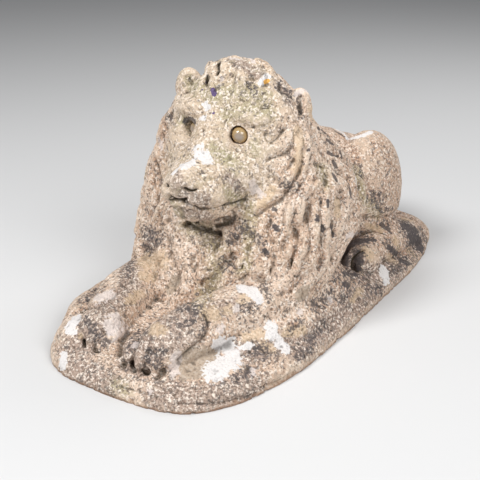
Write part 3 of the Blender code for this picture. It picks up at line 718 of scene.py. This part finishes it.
# Patches of the sides that the photograph does not show: how many of each, and their radii in metres.
hiddenPatches = {
    "white": (8, 0.005, 0.011),
    "chalk": (26, 0.005, 0.014),
    "ochre": (22, 0.007, 0.018),
    "dark": (60, 0.004, 0.015),
    "green": (10, 0.012, 0.030),
}
colouring = {
    "seed": 11,
    "viewShare": 0.6,  # patches are traced as the camera sees them, so reach along its axis counts for less
    "turnedAway": -0.05,  # a point faces away from the camera below this share
    "lowest": 0.004,  # no hidden patch has its middle below this height
    "wander": 0.006,  # metres, how far a hidden patch may run each way
    "hollows": {"hollow": (3, 900), "broadHollow": (16, 260)},  # rounds of spreading, and gain per metre
    "creaseReach": 2.0,  # half widths of a cut that its dirt and painted shade may reach
    "creaseFall": 1.3,  # more is a narrower band of dirt and painted shade
    # Colour changes by place: axis (3 is the distance from the middle), start and span of each even rise. The
    # head is paler, the near side of the mane is cleaner, and the flank and rear are browner than the rest.
    "rearward": ((1, -0.10, 0.22),),
    "haunchward": ((1, 0.09, 0.05), (2, 0.09, 0.03)),
    "headward": ((2, 0.16, 0.06), (1, -0.055, -0.03), (3, 0.105, -0.03)),
    "maneward": ((2, 0.07, 0.03), (1, 0.09, -0.04), (0, 0.01, 0.05)),
    "haunchBrown": 0.5,  # share of the brown that the haunch loses
}


# Patch field: one at the middle of a patch, falling evenly to nought at its radius and minus one at twice that.
def patchField(points, found):
    field = np.full(len(points), -1, np.float32)
    for line, radius in found:
        field = np.maximum(field, 1 - lineDistance(points, line, 2 * radius) / radius)
    return field


# Hollowness: how far a point lies below the average round it, along its normal. Each round takes the average of
# the neighbours' averages, which spreads it further.
def hollowness(mesh, rounds):
    points, normals = pointsOf(mesh), normalsOf(mesh)
    count = len(points)
    pairs = np.empty(len(mesh.edges) * 2, np.int32)
    mesh.edges.foreach_get("vertices", pairs)
    first, second = pairs.reshape(-1, 2).T
    neighbours = np.bincount(first, minlength=count) + np.bincount(second, minlength=count)
    spread = points.astype(float)
    for _ in range(rounds):
        total = [np.bincount(first, spread[second, k], count) + np.bincount(second, spread[first, k], count)
                 for k in range(3)]
        spread = np.stack(total, axis=-1) / np.maximum(neighbours, 1)[:, None]
    return ((spread - points) * normals).sum(axis=1)


# One number for each point, which a material can read by its name.
def writeAttribute(mesh, name, values):
    field = mesh.attributes.new(name, "FLOAT", "POINT")
    field.data.foreach_set("value", np.asarray(values, np.float32))


# Points as the camera sees them: a share of their reach along its axis is taken away.
def asSeen(places):
    back = np.array(cameraAxes()[0])
    return places - colouring["viewShare"] * (places @ back)[:, None] * back


# Share of a place: the product of even rises, each from nought at its start to one a span further on.
def placeShare(places, rises):
    return np.prod([np.clip((places[axis] - start) / span, 0, 1) for axis, start, span in rises], axis=0)


pixelSize = camera["distance"] * camera["sensor"] / camera["lens"] / camera["picture"]  # metres, at the target
bpy.context.view_layer.update()
points = pointsOf(stone.data)
random = np.random.default_rng(colouring["seed"])
back = np.array(cameraAxes()[0])
seenPoints = asSeen(points)
for kind, traces in patches.items():
    lines = [(photoLine(stone, row), radius * pixelSize) for radius, *row in traces]
    field = patchField(seenPoints, [(asSeen(line), radius) for line, radius in lines if len(line)])
    if kind in hiddenPatches:
        found = []
        many, least, most = hiddenPatches[kind]
        away = normalsOf(stone.data) @ back < colouring["turnedAway"]
        hidden = np.flatnonzero(away & (points[:, 2] > colouring["lowest"]))
        for place in random.choice(hidden, many):
            step = random.uniform(-colouring["wander"], colouring["wander"], 3)
            line = np.stack([points[place], points[place] + step]).astype(np.float32)
            found.append((line, random.uniform(least, most)))
        field = np.maximum(field, patchField(points, found))
    writeAttribute(stone.data, kind, field)
# Dirt and painted shade along the steep cuts, strongest near their beds.
creaseField = np.zeros(len(points), np.float32)
for beds, halfWidth, steepness in sharpCuts:
    away = np.minimum.reduce([lineDistance(points, bed, halfWidth * colouring["creaseReach"]) for bed in beds])
    cutDirtAndShade = np.exp(-((away / halfWidth * colouring["creaseFall"]) ** 2)) * steepness
    creaseField = np.maximum(creaseField, cutDirtAndShade)
writeAttribute(stone.data, "crease", creaseField)
# How hollow each point is, at two scales: hollows take dirt and painted shade, and ridges a paler tone.
for name, (rounds, gain) in colouring["hollows"].items():
    writeAttribute(stone.data, name, hollowness(stone.data, rounds) * gain)
places = [*points.T, np.abs(points[:, 0])]
rearward, haunchward, headward, maneward = (
    placeShare(places, colouring[name]) for name in ("rearward", "haunchward", "headward", "maneward"))
writeAttribute(stone.data, "rearward", rearward * (1 - colouring["haunchBrown"] * haunchward))
writeAttribute(stone.data, "headward", headward)
writeAttribute(stone.data, "maneward", maneward * (1 - headward))
print("stone coloured")


# The linear colour of three sRGB bytes.
def colour(red, green, blue):
    values = np.array((red, green, blue)) / 255
    linear = np.where(values <= 0.04045, values / 12.92, ((values + 0.055) / 1.055) ** 2.4)
    return (*linear.tolist(), 1.0)


# A node with its settings. Each input is a number or colour set on it, or a socket linked to it.
def addNode(tree, kind, inputs=None, **settings):
    made = tree.nodes.new(kind)
    for name, value in settings.items():
        setattr(made, name, value)
    for name, value in (inputs or {}).items():
        if isinstance(value, bpy.types.NodeSocket):
            tree.links.new(value, made.inputs[name])
        else:
            made.inputs[name].default_value = value
    return made


# Noise from nought to one: waves of a scale per metre, plus finer ones, each weaker than the last by a share.
def noise(tree, place, scale, detail, roughness=0.5, distortion=0.0):
    inputs = {"Vector": place, "Scale": scale, "Detail": detail, "Roughness": roughness,
              "Distortion": distortion}
    return addNode(tree, "ShaderNodeTexNoise", inputs).outputs["Fac"]


# The number that a mesh holds under a name, as a value.
def attribute(tree, name):
    return addNode(tree, "ShaderNodeAttribute", attribute_name=name).outputs["Fac"]


# One value times another.
def product(tree, first, second):
    return addNode(tree, "ShaderNodeMath", {0: first, 1: second}, operation="MULTIPLY").outputs[0]


# A value times a factor, plus a base that is a number or another value.
def scaled(tree, value, factor, base=0.0, clamp=False):
    made = addNode(tree, "ShaderNodeMath", {0: value, 1: factor, 2: base}, operation="MULTIPLY_ADD")
    made.use_clamp = clamp
    return made.outputs[0]


# A smooth step from nought at low to one at high.
def stepBetween(tree, value, low, high):
    inputs = {"Value": value, "From Min": low, "From Max": high}
    return addNode(tree, "ShaderNodeMapRange", inputs, interpolation_type="SMOOTHSTEP").outputs["Result"]


# The first colour where the share is nought and the second where it is one.
def blend(tree, share, first, second):
    made = addNode(tree, "ShaderNodeMix", data_type="RGBA")
    for index, value in ((0, share), (6, first), (7, second)):
        if isinstance(value, bpy.types.NodeSocket):
            tree.links.new(value, made.inputs[index])
        else:
            made.inputs[index].default_value = value
    return made.outputs[2]


# A new material, with its nodes and the shader of its surface.
def newMaterial(name):
    made = bpy.data.materials.new(name)
    made.use_nodes = True
    tree = made.node_tree
    return made, tree, tree.nodes["Principled BSDF"]


stoneFinish = {
    "pale": colour(220, 196, 176),
    "middle": colour(204, 175, 152),
    "brown": colour(186, 150, 126),
    "headPale": colour(208, 192, 168),
    "mauve": colour(168, 149, 138),
    "cream": colour(248, 235, 222),
    "speck": colour(112, 96, 84),
    "darkSpot": colour(100, 92, 88),
    # dark lichen; in a few patches it also paints shade
    "darkLichenAndShade": colour(84, 78, 78),
    "algae": colour(156, 154, 116),
    "ochre": colour(216, 190, 158),
    "white": colour(232, 228, 226),
    "chalk": colour(226, 214, 208),
    # worn stone; beside the near paw it also paints shade
    "smooth": colour(174, 158, 140),
    "violet": colour(84, 66, 118),
    "orange": colour(232, 170, 60),
    # dirt and painted shade, laid in hollows and carved cuts
    "crease": colour(50, 43, 30),
    "rimStain": colour(140, 104, 78),
    # wear and a painted highlight on ridges
    "ridge": colour(228, 208, 186),
    "grain": 0.0022,  # metres, the height of the grain
    "roughness": 0.94,
}


# Noises of the stone: whether its place is shifted, then scale per metre, detail, roughness and distortion
stoneNoises = {
    "broad": (False, 14, 3),
    "patchy": (False, 46, 4, 0.6),
    "fine": (False, 235, 3, 0.6),
    "finer": (True, 330, 3, 0.6),
    "spots": (False, 120, 3, 0.65, 0.4),
    "edge": (False, 150, 3, 0.6),
    "crumbs": (True, 210, 4, 0.7),
    "mottle": (True, 62, 4, 0.65),
}
# Layers: the values at which each starts and ends to show, and its strength
stoneLayers = {
    "middle": (0.38, 0.64, 1.0),
    "brownPatches": (0.50, 0.72, 1.0),
    "mauve": (-0.10, 0.60, 1.0),
    "algae": (-0.20, 0.90, 0.55),
    "headAlgae": (0.50, 0.66, 0.30),
    "cream": (0.50, 0.60, 0.85),
    "speck": (0.52, 0.63, 1.0),
    "darkSpot": (0.72, 0.80, 1.0),
    "spotCrumbs": (0.40, 0.52, 1.0),
    "patchCrumbs": (0.42, 0.54, 1.0),
    # ridges, paler by wear and a painted highlight
    "ridge": (0.10, 0.90, 1.0),
    "wornWhite": (0.56, 0.66, 0.25),
    "wornPale": (0.56, 0.66, 0.50),
    # dirt and painted shade in hollows and carved cuts
    "hollow": (0.15, 1.00, 0.38),
    "broadHollow": (0.12, 1.10, 0.42),
    "crease": (0.30, 0.85, 0.90),
    "foot": (0.001, 0.006, 1.0),
}
# Marked patches: how far noise breaks their edges, the values at which they start and end, and their strength
markedPatches = {
    "smooth": (1.2, -0.05, 0.15, 0.75),
    "ochre": (2.4, 0.10, 0.50, 0.60),
    "dark": (3.2, 0.00, 0.25, 0.85),
    "black": (1.8, 0.05, 0.20, 0.85),
    "chalk": (2.2, 0.15, 0.40, 0.75),
    "white": (1.8, 0.18, 0.30, 0.94),
    "violet": (1.2, 0.00, 0.10, 0.90),
    "orange": (0.8, 0.00, 0.10, 0.90),
}
# Other amounts: the strength of a colour, or how much one thing adds to another or takes from it
stoneAmounts = {
    "shift": (3.7, 5.1, 2.3),  # metres that some noises are read away from the rest
    "rearBrown": 0.75,
    "brown": 0.8,
    "headPale": 0.6,
    "mauve": 0.75,
    "mauveEdge": 1.6,
    "algaeEdge": 2.2,
    "specks": 0.85,
    "headSpecks": -0.25,
    "mauveSpecks": 0.035,
    # what each field adds to the dark spots
    "spots": {"patchy": 0.35, "rearward": 0.01, "mauve": 0.03, "headward": -0.015, "maneward": -0.035},
    "spotStrength": 0.85,
    # ridges lose dark spots and grow paler, by wear and a painted highlight
    "ridgeSpots": -0.6,
    "ridge": 0.48,
    "mauveRidge": -0.85,
    "footEdge": 0.012,
    "foot": 0.7,
    "grainScale": 300.0,
    "grains": 0.5,  # heights of the grains and spots against the fine noise
    "spotRelief": 0.8,
    "bump": 0.9,
    "specular": 0.25,
}


# The share that a layer shows: a smooth step of a value between its two limits, times its strength.
def layerShare(tree, name, value):
    low, high, strength = stoneLayers[name]
    return product(tree, stepBetween(tree, value, low, high), strength)


# Stone: colours laid one over another, each by the share that a field allows it, and a fine bump of grains.
def makeStoneMaterial():
    made, tree, shader = newMaterial("weatheredStone")
    place = addNode(tree, "ShaderNodeTexCoord").outputs["Object"]
    shift = {0: place, 1: stoneAmounts["shift"]}
    shiftedPlace = addNode(tree, "ShaderNodeVectorMath", shift).outputs["Vector"]
    fields = {name: noise(tree, shiftedPlace if shifted else place, *values)
             for name, (shifted, *values) in stoneNoises.items()}
    edge = scaled(tree, fields["edge"], 1.0, -0.5)
    fields.update((name, attribute(tree, name)) for name in ("rearward", "headward", "maneward"))

    def share(name, value):
        return layerShare(tree, name, value)

    def lay(under, amount, name):
        return blend(tree, amount, under, stoneFinish[name])

    tone = blend(tree, share("middle", fields["broad"]), stoneFinish["pale"], stoneFinish["middle"])
    brown = share("brownPatches", fields["patchy"])
    brown = scaled(tree, fields["rearward"], stoneAmounts["rearBrown"], brown, clamp=True)
    tone = lay(tone, product(tree, brown, stoneAmounts["brown"]), "brown")
    tone = lay(tone, product(tree, fields["headward"], stoneAmounts["headPale"]), "headPale")
    mauve = share("mauve", scaled(tree, edge, stoneAmounts["mauveEdge"], attribute(tree, "mauve")))
    fields["mauve"] = mauve
    tone = lay(tone, product(tree, mauve, stoneAmounts["mauve"]), "mauve")

    # algae where it is marked, and in soft mottles of the head
    algae = scaled(tree, edge, stoneAmounts["algaeEdge"], attribute(tree, "green"))
    tone = lay(tone, share("algae", algae), "algae")
    tone = lay(tone, product(tree, share("headAlgae", fields["mottle"]), fields["headward"]), "algae")

    # cream and dark grains, then dark spots, which ridges wear off, and ridges made paler by wear and a painted
    # highlight
    tone = lay(tone, share("cream", fields["fine"]), "cream")
    specks = share("speck", scaled(tree, mauve, stoneAmounts["mauveSpecks"], fields["finer"]))
    kept = scaled(tree, fields["headward"], stoneAmounts["headSpecks"], stoneAmounts["specks"])
    tone = lay(tone, product(tree, specks, kept), "speck")
    spots = fields["spots"]
    for name, amount in stoneAmounts["spots"].items():
        spots = scaled(tree, fields[name], amount, spots)
    spots = product(tree, share("darkSpot", spots), share("spotCrumbs", fields["crumbs"]))
    ridge = share("ridge", scaled(tree, attribute(tree, "broadHollow"), -1.0))
    ridge = product(tree, ridge, scaled(tree, mauve, stoneAmounts["mauveRidge"], 1.0))
    kept = scaled(tree, ridge, stoneAmounts["ridgeSpots"], stoneAmounts["spotStrength"])
    tone = lay(tone, product(tree, spots, kept), "darkSpot")
    tone = lay(tone, product(tree, ridge, stoneAmounts["ridge"]), "ridge")

    # marked patches, their edges broken by noise, the pale ones worn through to the stone; a few dark and
    # smooth ones paint shade
    for name, (spread, low, high, strength) in markedPatches.items():
        value = scaled(tree, edge, spread, attribute(tree, name))
        amount = product(tree, stepBetween(tree, value, low, high), strength)
        if name == "dark":
            amount = product(tree, amount, share("patchCrumbs", fields["crumbs"]))
        if name in ("white", "chalk", "ochre", "smooth"):
            bare = share("wornWhite" if name == "white" else "wornPale", fields["finer"])
            amount = product(tree, amount, scaled(tree, bare, -1.0, 1.0))
        tone = lay(tone, amount, "darkLichenAndShade" if name in ("dark", "black") else name)

    # dirt and painted shade in hollows and carved lines, and the warm stain along the foot of the base
    for name in ("hollow", "broadHollow", "crease"):
        tone = lay(tone, share(name, attribute(tree, name)), "crease")
    height = addNode(tree, "ShaderNodeSeparateXYZ", {0: place}).outputs["Z"]
    above = share("foot", scaled(tree, edge, stoneAmounts["footEdge"], height))
    tone = lay(tone, scaled(tree, above, -stoneAmounts["foot"], stoneAmounts["foot"]), "rimStain")

    inputs = {"Vector": place, "Scale": stoneAmounts["grainScale"]}
    grains = addNode(tree, "ShaderNodeTexVoronoi", inputs).outputs["Distance"]
    height = scaled(tree, grains, stoneAmounts["grains"], fields["fine"])
    height = scaled(tree, fields["spots"], stoneAmounts["spotRelief"], height)
    inputs = {"Height": height, "Strength": stoneAmounts["bump"], "Distance": stoneFinish["grain"]}
    bump = addNode(tree, "ShaderNodeBump", inputs)
    tree.links.new(tone, shader.inputs["Base Color"])
    tree.links.new(bump.outputs["Normal"], shader.inputs["Normal"])
    shader.inputs["Roughness"].default_value = stoneFinish["roughness"]
    shader.inputs["Specular IOR Level"].default_value = stoneAmounts["specular"]
    return made


stone.data.materials.clear()
stone.data.materials.append(makeStoneMaterial())
stone.data.polygons.foreach_set("material_index", np.zeros(len(stone.data.polygons), np.int32))
shadeSmooth(stone.data)
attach(stone, "root")
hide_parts("stone_lion")

eyeFinish = {
    "rows": 49,
    "columns": 72,
    # the greyish middle is a painted reflection, the amber ring is the glass's own colour, and the darker edge
    # is painted shade at the glass's rim
    "middle": colour(158, 144, 130),
    "ring": colour(172, 146, 104),
    "edge": colour(160, 126, 74),
    "ringFrom": (0.30, 0.78),  # shares of the radius, off the eye's axis, over which the ring comes in
    "edgeFrom": (0.88, 1.02),  # and over which its edge does
    "noise": (260, 3),  # scale per metre and detail
    "uneven": 0.22,  # how far noise moves them
    "roughness": 0.16,
    "glass": 1.52,  # how strongly it bends light
    "coat": 0.5,
    "coatRoughness": 0.08,
}


# Glass eye: a ball with an attribute, the share of its radius that a point lies off its axis, and one all over
# its back.
def makeEye(name):
    low, high = (np.array(corner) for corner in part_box(name + "_eye"))
    radii = np.full(3, eyes["radius"] / lion["length"])
    grid = ellipsoidSurface((0, 0, 0), radii, rows=eyeFinish["rows"], columns=eyeFinish["columns"])
    offAxis = np.where(grid[..., 2] < 0, 1, np.hypot(grid[..., 0], grid[..., 1]) / eyes["radius"])
    mesh = meshOfGrids(name + "Eye", [aimed(grid, eyeAxis(sides[name]), (low + high) / 2)])
    writeAttribute(mesh, "offAxis", offAxis.ravel())
    made = makeObject(name + "Eye", mesh)
    weld = made.modifiers.new("weld", "WELD")
    weld.merge_threshold = 1e-6
    settle(made)
    shadeSmooth(made.data)
    return made


# Glass: a middle colour, which paints a reflection, then the amber ring and an edge of painted shade, which
# come in by smooth steps of the share off the axis.
def makeGlassMaterial():
    made, tree, shader = newMaterial("amberGlass")
    place = addNode(tree, "ShaderNodeTexCoord").outputs["Object"]
    uneven = scaled(tree, noise(tree, place, *eyeFinish["noise"]), 1.0, -0.5)
    offAxis = scaled(tree, uneven, eyeFinish["uneven"], attribute(tree, "offAxis"))
    ring = stepBetween(tree, offAxis, *eyeFinish["ringFrom"])
    edge = stepBetween(tree, offAxis, *eyeFinish["edgeFrom"])
    tone = blend(tree, ring, eyeFinish["middle"], eyeFinish["ring"])
    tone = blend(tree, edge, tone, eyeFinish["edge"])
    tree.links.new(tone, shader.inputs["Base Color"])
    shader.inputs["Roughness"].default_value = eyeFinish["roughness"]
    shader.inputs["IOR"].default_value = eyeFinish["glass"]
    shader.inputs["Coat Weight"].default_value = eyeFinish["coat"]
    shader.inputs["Coat Roughness"].default_value = eyeFinish["coatRoughness"]
    return made


glass = makeGlassMaterial()
for name in sides:
    eye = makeEye(name)
    eye.data.materials.append(glass)
    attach(eye, "root")
    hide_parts(name + "_eye")
print("eyes set")

stage = {
    "floor": colour(216, 216, 216),
    "floorSize": 24.0,
    "floorRoughness": 0.8,
    "world": colour(214, 216, 220),
    "worldStrength": 0.20,
    # area lights: place, size, power
    "lights": (((-0.7, -1.7, 2.3), 1.1, 62), ((2.0, -1.0, 1.8), 1.6, 44), ((0.4, 1.4, 1.9), 1.2, 16)),
}


# A pale floor, an even world, and lamps that all face the camera's target.
def makeStage():
    corner = stage["floorSize"] / 2
    corners = np.array(((-corner, -corner, 0), (corner, -corner, 0), (corner, corner, 0), (-corner, corner, 0)))
    floor = makeObject("floor", meshOf("floor", corners, np.array([[0, 1, 2, 3]])))
    made, _, shader = newMaterial("paleFloor")
    shader.inputs["Base Color"].default_value = stage["floor"]
    shader.inputs["Roughness"].default_value = stage["floorRoughness"]
    floor.data.materials.append(made)
    world = bpy.data.worlds.new("studio")
    world.use_nodes = True
    world.node_tree.nodes["Background"].inputs["Color"].default_value = stage["world"]
    world.node_tree.nodes["Background"].inputs["Strength"].default_value = stage["worldStrength"]
    bpy.context.scene.world = world
    for index, (place, size, power) in enumerate(stage["lights"]):
        data = bpy.data.lights.new(f"softbox{index}", "AREA")
        data.shape = "DISK"
        data.size = size
        data.energy = power
        lamp = makeObject(f"softbox{index}", data)
        lamp.location = place
        lamp.rotation_euler = (Vector(camera["target"]) - Vector(place)).to_track_quat("-Z", "Y").to_euler()


# The camera stands at its distance from the target, along the back direction, and looks at the target.
def makeCamera():
    back, _, _ = cameraAxes()
    data = bpy.data.cameras.new("camera")
    data.lens = camera["lens"]
    data.sensor_width = camera["sensor"]
    made = makeObject("camera", data)
    made.location = Vector(camera["target"]) + back * camera["distance"]
    made.rotation_euler = back.to_track_quat("Z", "Y").to_euler()
    bpy.context.scene.camera = made


makeStage()
makeCamera()
bpy.context.scene.view_settings.view_transform = "Standard"
print("stage and camera set")
